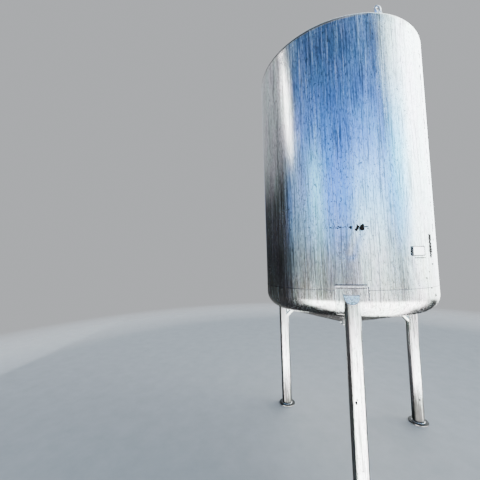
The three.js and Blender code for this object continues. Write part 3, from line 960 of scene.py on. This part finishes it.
def make_manway():
    centre = (0, AXIS_Y)
    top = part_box("manway_neck")[1].z
    neck("manway_neck", MANWAY_RADIUS, 144, centre)
    inner = MANWAY_RADIUS + FIT
    outer = inner + RIM_RING_WIDTH
    ring = ring_section(inner, outer, top - RIM_RING_PLATE, top)
    fitting("manway_rim_ring", softened(ring, 0.002), 144, centre, sharp=50)
    fitting("manway_lid", lid_section(top + FIT), 144, centre, sharp=40, closed=False)
    gasket = softened(ring_section(outer - 0.012, outer + 0.0035, top - 0.0004, top + 0.0026), 0.001)
    fit_out(turned("manway_gasket", gasket, 144, centre=centre), STEEL["rubber"], "fitting")
    base = ring_path(MANWAY_RADIUS, crown_z(MANWAY_RADIUS), 144, centre)
    weld_round("manway_weld_bead", 0.003, 0.003, base)
    dressed("manway_hinge", 0.002)
    dressed("manway_latch", 0.0015)
    make_knob()


def make_knob():
    """A hand knob with six lobes on its swing bolt"""
    low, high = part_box("manway_knob")
    centre = Vector(((low.x + high.x) / 2, (low.y + high.y) / 2))
    z = low.z
    section = softened([
        (0, z), (0.007, z), (0.007, z + 0.030), (0.014, z + 0.031), (0.0235, z + 0.034),
        (0.0235, z + 0.048), (0.012, z + 0.0535), (0, z + 0.056),
    ], 0.003, False)
    piece = turned("manway_knob_skin", section, 96, closed=False, centre=centre, sharp=50)
    stem = 0.012
    for vert in piece.data.vertices:
        away = vert.co.xy - centre
        if away.length > stem:
            swell = 1 + 0.09 * math.cos(6 * math.atan2(away.y, away.x)) * min(1, (away.length - stem) / 0.008)
            vert.co.xy = centre + away * swell
    fit_out(piece, STEEL["fitting"], "fitting", "manway_knob")


def make_vent():
    centre = (around(VENT_AZIMUTH) @ Vector((VENT_DISTANCE, 0, 0))).xy
    neck("vent_pipe", VENT_RADIUS, 72, centre)
    low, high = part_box("vent_cap")
    z = low.z
    rise = high.z - z
    cap = softened([
        (0, z), (VENT_CAP_RADIUS - 0.001, z), (VENT_CAP_RADIUS, z + 0.4 * rise),
        (0.6 * VENT_CAP_RADIUS, z + 0.85 * rise), (0, z + rise),
    ], 0.006, False)
    fitting("vent_cap", cap, 96, centre, sharp=50, closed=False)
    path = ring_path(VENT_RADIUS, 0, 72, centre)
    for point, _ in path:
        point.z = crown_z(math.hypot(point.x, point.y - AXIS_Y))
    weld_round("vent_weld_bead", 0.0026, 0.0026, path)


def make_lugs():
    for i, azimuth in enumerate(LUG_AZIMUTHS, 1):
        dressed(f"lifting_lug_{i}", 0.0012)
        beads = []
        for x, way in LUG_FACES:
            up = Vector((0.7 * way, 0, 0.7))
            z = crown_z(x) + 0.0006
            line = [(Vector((x, y, z)), up) for y in spaced(-LUG_HALF_WIDTH, LUG_HALF_WIDTH, 12)]
            beads.append(bead(line, 0.0026, 0.0024))
        fit_out(gathered(f"lug_weld_bead_{i}", beads, around(azimuth)), STEEL["weld"], "fitting")


def rounded_plate(width, height, radius, steps=6):
    """Outline of a plate with round corners, in its own y and z"""
    outline = []
    for corner, (sy, sz) in enumerate(((1, 1), (-1, 1), (-1, -1), (1, -1))):
        for i in range(steps + 1):
            turn = math.pi / 2 * (corner + i / steps)
            y = sy * (width / 2 - radius) + radius * math.cos(turn)
            outline.append((y, sz * (height / 2 - radius) + radius * math.sin(turn)))
    return outline


def make_name_plate():
    """A blank plate with a pressed edge and four rivets"""
    dressed("name_plate_bracket", 0.0006, "bracket")
    low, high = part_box("name_plate")
    middle = Vector((SHELL_RADIUS + BRACKET_DEPTH + FIT, 0, (low.z + high.z) / 2))
    width = NAME_PLATE_WIDTH
    height = high.z - low.z
    place = around(NAME_PLATE_AZIMUTH)
    outline = rounded_plate(width - 0.003, height - 0.003, NAME_PLATE_CORNER)
    # A dark outline round the plate, in the gasket rubber's colour
    edge = [(middle + Vector((0.0012, y, z)), Vector((1, 0, 0))) for y, z in outline]
    fit_out(gathered("name_plate_edge", [bead(edge, 0.0036, 0.0014, True)], place), STEEL["rubber"], "plate")
    verts = []
    layers = ((0.0, 0.0), (0.0014, 0.0), (0.0020, 0.0006), (0.0020, 0.0034), (0.0014, 0.0044))
    for depth, inset in layers:
        corner = NAME_PLATE_CORNER - min(0.004, inset)
        for y, z in rounded_plate(width - 2 * inset, height - 2 * inset, corner):
            verts.append(place @ (middle + Vector((depth, y, z))))
    faces = grid_faces(len(layers), len(verts) // len(layers), False)
    fit_out(make_object("name_plate_skin", verts, faces, 12), STEEL["plate"], "plate", "name_plate")
    spots = [Vector((0.0014, y, z)) for y in (-0.056, 0.056) for z in (-0.026, 0.026)]
    rivets = [dome(middle + spot, 0.0032, 0.0012) for spot in spots]
    fit_out(gathered("name_plate_rivets", rivets, place, 50), STEEL["fitting"], "fitting")


def dome(base, radius, height):
    """A low round head on a plate that faces +X"""
    rings = 4
    count = 16
    verts = []
    for ring in range(rings):
        turn = math.pi / 2 * ring / rings
        reach = radius * math.cos(turn)
        for azimuth in all_round(count):
            way = outward(azimuth)
            verts.append(base + Vector((height * math.sin(turn), reach * way.x, reach * way.y)))
    tip = len(verts)
    verts.append(base + Vector((height, 0, 0)))
    faces = grid_faces(rings, count, False)[:-1]
    faces += [(tip - count + j, tip - count + (j + 1) % count, tip) for j in range(count)]
    return verts, faces


def shell_face(azimuth, z):
    """A place on the shell as a function of distance along, height and lift"""
    return lambda along, up, lift: shell_point(azimuth + math.degrees(along / SHELL_RADIUS), z + up, lift)


def tube_face(side, azimuth, z):
    """A place on a leg's tube, in the same form"""
    def point(along, up, lift):
        middle = around(LEG_AZIMUTHS[side]) @ Vector((LEG_CIRCLE, 0, z + up))
        return middle + outward(azimuth + math.degrees(along / TUBE_RADIUS)) * (TUBE_RADIUS + lift)
    return point


def blot(face, half_width, half_height, seed):
    """An irregular stain that lies on a curved face"""
    count = 28
    rim = []
    for azimuth in all_round(count):
        way = outward(azimuth)
        coarse = noise.noise(way * 1.3 + Vector((0, 0, seed)))
        size = 1 + 0.55 * coarse + 0.22 * noise.noise(way * 5 + Vector((0, 9, seed)))
        rim.append((half_width * size * way.x, half_height * size * way.y))
    under = -0.0005
    over = 0.00035
    rings = ((0.5, under), (1, -0.0004), (0.96, 0.0003), (0.72, over), (0.48, over), (0.24, over))
    verts = [face(share * u, share * v, lift) for share, lift in rings for u, v in rim]
    verts += [face(0, 0, under), face(0, 0, over)]
    faces = grid_faces(len(rings), count, False)[:-2]
    last = (len(rings) - 1) * count
    for j in range(count):
        k = (j + 1) % count
        faces += [(k, j, len(verts) - 2), (last + j, last + k, len(verts) - 1)]
    return verts, faces


# The black spot's parts and other dark marks on the shell: azimuth, height, half width and half height
SPOTS = (
    (-82.4, 1.991, 0.0190, 0.0240), (-80.5, 1.997, 0.0180, 0.0055), (-84.9, 1.994, 0.0120, 0.0220),
    (-85.7, 1.980, 0.0125, 0.0120), (-83.5, 1.984, 0.0110, 0.0160), (-79.7, 1.984, 0.006, 0.005),
    (-88.3, 1.996, 0.0090, 0.0110), (-44.2, 1.593, 0.012, 0.008), (-34.4, 1.450, 0.020, 0.012),
    (-41.0, 1.640, 0.011, 0.005), (-39.5, 1.512, 0.016, 0.006), (-36.0, 1.700, 0.018, 0.008),
)


def dotted_line():
    """Dots in a row to the left of the black spot"""
    dots = []
    for i in range(30):
        size = 0.0030 + 0.0060 * noise.noise((i * 1.7, 0.3, 0.5))
        if size > 0.0018:
            place = shell_face(-87.5 - 0.52 * i, 2.002 + 0.014 * noise.noise((i * 0.9, 2.1, 0)))
            dots.append(blot(place, 1.5 * size, size, i + 20))
    return dots


def upright_mark():
    """The ragged dark mark to the right of the name plate"""
    marks = []
    for i in range(13):
        place = shell_face(-37.2 + 0.4 * noise.noise((i * 0.8, 7, 1)), 1.762 + 0.0140 * i)
        marks.append(blot(place, 0.0280 + 0.014 * noise.noise((i * 1.3, 4.4, 0)), 0.0135, i + 60))
    return marks


def upright_dots():
    """Small dots one above another near the right edge"""
    dots = []
    for i in range(70):
        size = 0.0080 + 0.0120 * noise.noise((i * 1.1, 3.3, 2.7))
        if size > 0.0065:
            place = shell_face(-30.5 + 2.0 * noise.noise((i * 0.35, 8.8, 0)), 1.90 + 0.024 * i)
            dots.append(blot(place, 0.9 * size, 1.1 * size, i + 90))
    return dots


def make_stains():
    """Stains and dark marks on the shell, a painted shadow line under the name plate and two marks on each of
    two legs
    """
    blots = [blot(shell_face(azimuth, z), *size, i) for i, (azimuth, z, *size) in enumerate(SPOTS)]
    blots += dotted_line() + upright_mark() + upright_dots()
    # Painted shadow: a dark line of blots under the name plate
    blots += [blot(shell_face(-52.5 + 1.6 * i, 1.752), 0.0125, 0.0045, i + 170) for i in range(6)]
    fit_out(gathered("shell_stains_and_shadow", blots), STEEL["stain_and_shadow"], "sheet")
    for side, azimuth, z in (("front", -101, 0.730), ("right", -75.9, 0.250)):
        large = blot(tube_face(side, azimuth, z), 0.010, 0.012, 0)
        small = blot(tube_face(side, azimuth + 6, z + 0.024), 0.005, 0.006, 3)
        fit_out(gathered(f"leg_marks_{side}", [large, small]), STEEL["stain_and_shadow"], "tube")


def make_floor():
    """A pale round floor that fades out at its edge"""
    verts = [outward(azimuth) * FLOOR_RADIUS for azimuth in all_round(96)]
    floor = make_object("floor", verts, [tuple(range(len(verts)))])
    finish = Finish("pale_floor")
    mottle = finish.noise((5, 5, 5), detail=6, roughness=0.65)
    colour = finish.mix(finish.band(mottle, 0.3, 0.7), (0.42, 0.43, 0.445), (0.48, 0.49, 0.505))
    length = finish.new("VectorMath", Vector=finish.place)
    length.operation = "LENGTH"
    fade = finish.band(length.outputs["Value"], 0.6 * FLOOR_RADIUS, 0.98 * FLOOR_RADIUS, 1, 0)
    finish.fed(finish.shader, {"Alpha": fade})
    floor.data.materials.append(finish.finished(colour, 0.85, 0, shine=0))
    floor.visible_glossy = False


def make_camera():
    """The photograph's viewpoint, which looks up a little and is tilted a little"""
    camera = bpy.data.cameras.new("camera")
    camera.lens = 19.19
    camera.sensor_width = 36
    camera.sensor_fit = "HORIZONTAL"
    camera.shift_y = 0.0108
    holder = linked("camera", camera)
    pitch = math.radians(4.06)
    roll = math.radians(-1.40)
    level = Vector((-0.3112, 0.9504, 0)).normalized()
    forward = level * math.cos(pitch) + Vector((0, 0, math.sin(pitch)))
    right = forward.cross(Vector((0, 0, 1))).normalized()
    up = right.cross(forward)
    rolled_right = right * math.cos(roll) + up * math.sin(roll)
    rolled_up = up * math.cos(roll) - right * math.sin(roll)
    turn = Matrix((rolled_right, rolled_up, -forward)).transposed()
    holder.matrix_world = Matrix.Translation((-0.1817, -2.9172 + AXIS_Y, 1.7426)) @ turn.to_4x4()
    bpy.context.scene.camera = holder


def panel(name, spot, width, length, radiance):
    """A warm lamp that faces the shell's left side and shows only where steel mirrors it"""
    light = bpy.data.lights.new(name, "AREA")
    light.shape = "ELLIPSE"
    light.size = width
    light.size_y = length
    light.energy = radiance * math.pi * width * length
    light.color = (1.0, 0.96, 0.88)
    holder = linked(name, light)
    back = (Vector(spot) - Vector((-0.44, -0.61, 3.1))).normalized()
    side = Vector((0.2, 0.33, 0.93)).cross(back).normalized()
    turn = Matrix((side, back.cross(side), back)).transposed()
    holder.matrix_world = Matrix.Translation(spot) @ turn.to_4x4()
    holder.visible_camera = False
    holder.visible_diffuse = False


def make_lights():
    """Two lamps that the shell mirrors as one soft pale streak"""
    panel("left_streak", (-3.73, -1.57, 5.12), 0.36, 1.9, 13)
    panel("left_haze", (-3.80, -1.60, 5.12), 1.1, 2.5, 0.9)


# What surrounds the studio, as elevation and colour: blue in front, white to the right, dim to the left,
# and under the horizon a pale ground in front and a dark one elsewhere
OVERHEAD = (68, (1.2, 1.85, 2.6))
HIGH_BLUE = ((36, (0.08, 0.21, 0.54)), (44, (0.06, 0.13, 0.31)), (56, (0.07, 0.15, 0.33)), OVERHEAD)
HIGH_GREY = ((38, (0.70, 0.72, 0.76)), (56, (0.40, 0.45, 0.50)), OVERHEAD)
FRONT_GLOW = (
    (-12, (0.78, 0.74, 0.70)), (-3, (0.66, 0.66, 0.68)), (1, (0.72, 0.88, 1.02)), (8, (0.40, 1.15, 2.8)),
    (14, (0.24, 1.00, 3.4)), (26, (0.16, 0.50, 1.65)), *HIGH_BLUE,
)
HAZE_GLOW = (
    (-12, (0.62, 0.56, 0.50)), (0, (0.60, 0.62, 0.58)), (9, (0.55, 0.78, 0.92)), (19, (0.55, 0.85, 1.2)),
    (27, (0.15, 0.45, 1.4)), *HIGH_BLUE,
)
CLOUD_GLOW = (
    (-12, (3.6, 3.6, 3.5)), (1, (4.6, 5.0, 5.0)), (8, (3.6, 5.8, 7.2)), (14, (1.5, 3.6, 6.5)),
    (24, (0.45, 1.4, 3.8)), (30, (0.28, 0.75, 2.1)), (34, (0.16, 0.42, 1.15)), (44, (0.17, 0.36, 0.78)),
    (56, (0.28, 0.42, 0.66)), OVERHEAD,
)
SHEEN_GLOW = (
    (-12, (0.80, 0.84, 0.70)), (0, (0.80, 0.95, 0.84)), (7, (1.0, 2.4, 2.9)), (17, (1.2, 3.7, 5.2)),
    (21, (0.8, 1.9, 3.3)), (25, (0.16, 0.46, 1.50)), *HIGH_BLUE,
)
EDGE_GLOW = (
    (-12, (1.6, 1.6, 1.55)), (0, (2.6, 2.8, 3.0)), (9, (1.6, 5.5, 8.5)), (22, (1.6, 6.5, 9.5)),
    (28, (2.2, 5.5, 7.5)), (34, (6.0, 7.5, 8.0)), (40, (6.0, 7.0, 7.5)), (56, (1.0, 1.4, 1.8)), OVERHEAD,
)
RIGHT_GLOW = (
    (-12, (6.5, 6.5, 6.4)), (0, (9.0, 9.3, 9.3)), (12, (10, 11, 11.4)), (40, (12, 12.6, 12.8)),
    (56, (7, 7.2, 7.2)), OVERHEAD,
)
LEFT_GLOW = (
    (-12, (0.08, 0.08, 0.075)), (0, (0.03, 0.03, 0.032)), (12, (0.06, 0.06, 0.065)), (22, (0.50, 0.52, 0.54)),
    *HIGH_GREY,
)
SHADE_GLOW = ((-12, (0.05, 0.05, 0.05)), (16, (0.06, 0.06, 0.06)), (27, (0.50, 0.52, 0.54)), *HIGH_GREY)
DARK_GROUND = ((-60, (0.04, 0.04, 0.042)), (-12, (0.09, 0.09, 0.09)))
PALE_GROUND = (
    (-86, (0.06, 0.06, 0.06)), (-74, (11, 10.8, 10.4)), (-20, (15, 14.8, 14.3)), (-13, (4.0, 3.9, 3.8)),
)
# How far round the glows reach, as azimuth and share, each laid over those before it
AREAS = (
    (((-168, 0), (-158, 0.75), (-142, 0.75), (-126, 0)), HAZE_GLOW),
    (((-82, 0), (-64, 0.8), (-42, 0.75), (-24, 0)), CLOUD_GLOW),
    (((-136, 0), (-128, 0.8), (-118, 0.8), (-110, 0)), SHEEN_GLOW),
    (((-31, 0), (-18, 0.6), (-8, 0.9), (4, 0.9), (16, 0)), EDGE_GLOW),
    (((-16, 0), (-4, 0.2), (8, 1), (85, 1), (113, 0.08), (145, 0)), RIGHT_GLOW),
    (((-180, 1), (-174, 1), (-153, 0), (80, 0), (115, 1)), LEFT_GLOW),
    (((-180, 1), (-172, 1), (-160, 0), (166, 0), (176, 1)), SHADE_GLOW),
)
# How far round the pale ground reaches: the steep part that the heads mirror, and the rest, for the legs
HEAD_GROUND_REACH = ((-146, 0), (-122, 1), (56, 1), (76, 0))
LEG_GROUND_REACH = ((-154, 0), (-138, 1), (12, 1), (30, 0), (75, 0), (85, 0.008), (120, 0.008), (130, 0))
BLACK = (0, 0, 0)
WHITE = (1, 1, 1)


class Surroundings(Graph):
    """The world being put together, by the elevation and azimuth of a ray"""

    def __init__(self, tree):
        super().__init__(tree)
        self.nodes.clear()
        place = self.new("TexCoord").outputs["Generated"]
        self.rise = self.calculated("MULTIPLY_ADD", self.part(place, "Z"), 0.5, 0.5)
        azimuth = self.calculated("ARCTAN2", self.part(place, "Y"), self.part(place, "X"))
        self.turn = self.calculated("MULTIPLY_ADD", azimuth, 0.5 / math.pi, 0.5)

    def ramp(self, value, stops):
        node = self.new("ValToRGB", Fac=value)
        elements = node.color_ramp.elements
        while len(elements) < len(stops):
            elements.new(0.5)
        for element, (position, colour) in zip(elements, stops):
            element.position = position
            element.color = (*colour, 1)
        return node.outputs["Color"]

    def glow(self, stops):
        """Colour by elevation"""
        places = [0.5 + 0.5 * math.sin(math.radians(elevation)) for elevation, _ in stops]
        return self.ramp(self.rise, [(place, colour) for place, (_, colour) in zip(places, stops)])

    def reach(self, stops):
        """Share by azimuth"""
        return self.ramp(self.turn, [((azimuth + 180) / 360, (share,) * 3) for azimuth, share in stops])


def make_world():
    """What the steel mirrors, dimmed as light and plain grey behind the tank"""
    world = bpy.data.worlds.new("studio")
    bpy.context.scene.world = world
    world.use_nodes = True
    studio = Surroundings(world.node_tree)
    sky = studio.glow(FRONT_GLOW)
    for area, stops in AREAS:
        sky = studio.mix(studio.reach(area), sky, studio.glow(stops))
    steep = studio.glow(((-49, WHITE), (-43, BLACK)))
    pale = studio.mix(steep, studio.reach(LEG_GROUND_REACH), studio.reach(HEAD_GROUND_REACH))
    ground = studio.mix(pale, studio.glow(DARK_GROUND), studio.glow(PALE_GROUND))
    colour = studio.mix(studio.glow(((-14, BLACK), (-10, WHITE))), ground, sky)
    rays = studio.new("LightPath").outputs
    strength = studio.calculated("MULTIPLY_ADD", rays["Is Diffuse Ray"], -0.80, 1)
    lit = studio.new("Background", Color=colour, Strength=strength)
    seen = studio.new("Background", Color=(0.50, 0.515, 0.535))
    choice = studio.new("MixShader", Fac=rays["Is Camera Ray"])
    studio.fed(choice, {1: lit.outputs["Background"], 2: seen.outputs["Background"]})
    studio.new("OutputWorld", Surface=choice.outputs["Shader"])


make_sheets()
make_heads()
make_shell_welds()
make_legs()
make_outlet()
make_manway()
make_vent()
make_lugs()
make_name_plate()
make_stains()
make_floor()
make_camera()
make_lights()
make_world()
